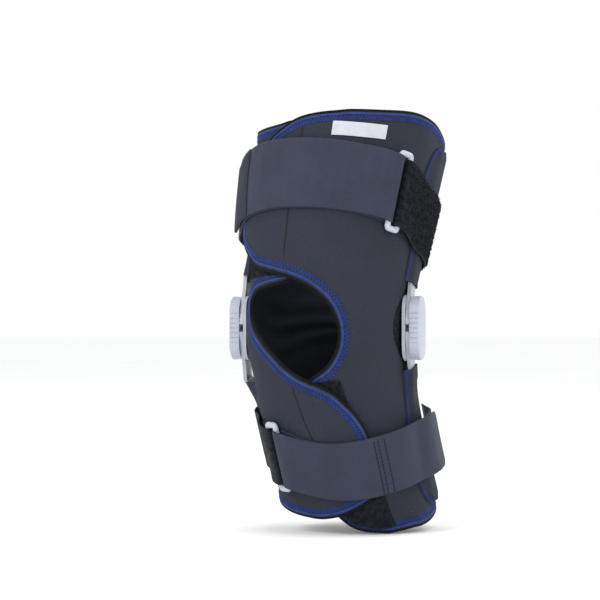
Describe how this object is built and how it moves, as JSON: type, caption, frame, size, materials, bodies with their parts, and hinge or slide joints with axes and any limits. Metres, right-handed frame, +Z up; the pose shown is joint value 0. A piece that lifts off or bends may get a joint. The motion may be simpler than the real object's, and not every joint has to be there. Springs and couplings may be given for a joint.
{
  "type": "hinged knee brace",
  "caption": "Wraparound knee sleeve with a kneecap opening, two geared side hinges with pocketed arms, and ring-fastened straps above and below the knee.",
  "frame": {"origin": "the middle of the knee, halfway between the two side hinges and midway between their two pivots", "axes": "+X towards the wearer's left side, +Y towards the back of the knee, +Z up the leg"},
  "size_m": [0.1727, 0.1787, 0.3274],
  "materials": {
    "neoprene": "matt knit-faced foam sheet",
    "strap_cloth": "smooth woven laminate",
    "loop_pile": "brushed loop pile",
    "hook_tape": "hook tape",
    "edge_tape": "matt edge binding",
    "grey_plastic": "moulded, satin",
    "aluminium": "satin sheet",
    "steel": "turned rivet",
    "label_white": "woven satin"
  },
  "bodies": {
    "thigh": {"thigh_wrap": "neoprene", "thigh_binding": "edge_tape", "thigh_wing_loop": "loop_pile", "thigh_flap_hook": "hook_tape", "thigh_pocket_left": "neoprene", "thigh_pocket_right": "neoprene", "thigh_strap": "strap_cloth", "thigh_strap_hook": "hook_tape", "thigh_ring": "grey_plastic", "thigh_ring_tab": "loop_pile", "label": "label_white", "upper_arm_left": "aluminium", "upper_arm_right": "aluminium"},
    "links": {"inner_plate_left": "grey_plastic", "outer_plate_left": "aluminium", "hinge_cover_left": "grey_plastic", "upper_rivet_left": "steel", "lower_rivet_left": "steel", "hinge_pad_left": "loop_pile", "inner_plate_right": "grey_plastic", "outer_plate_right": "aluminium", "hinge_cover_right": "grey_plastic", "upper_rivet_right": "steel", "lower_rivet_right": "steel", "hinge_pad_right": "loop_pile", "knee_front_left": "neoprene", "knee_front_right": "neoprene", "popliteal_panel": "neoprene"},
    "calf": {"calf_wrap": "neoprene", "calf_binding": "edge_tape", "calf_wing_loop": "loop_pile", "calf_flap_hook": "hook_tape", "calf_pocket_left": "neoprene", "calf_pocket_right": "neoprene", "calf_strap": "strap_cloth", "calf_strap_hook": "hook_tape", "calf_ring": "grey_plastic", "calf_ring_tab": "loop_pile", "lower_arm_left": "aluminium", "lower_arm_right": "aluminium"}
  },
  "joints": [
    {"name": "upper_pivot", "type": "hinge", "parent": "thigh", "child": "links", "pos_m": [0, 0, 0.0115], "axis": [1, 0, 0], "range_deg": [-15, 40], "deforming": ["popliteal_panel", "knee_front_left", "knee_front_right", "hinge_pad_left", "hinge_pad_right"]},
    {"name": "lower_pivot", "type": "hinge", "parent": "links", "child": "calf", "pos_m": [0, 0, -0.0115], "axis": [1, 0, 0], "range_deg": [-15, 40], "deforming": ["popliteal_panel", "knee_front_left", "knee_front_right", "hinge_pad_left", "hinge_pad_right"]}
  ],
  "couplings": [
    {"joint": "lower_pivot", "follows": "upper_pivot", "ratio": 1}
  ]
}
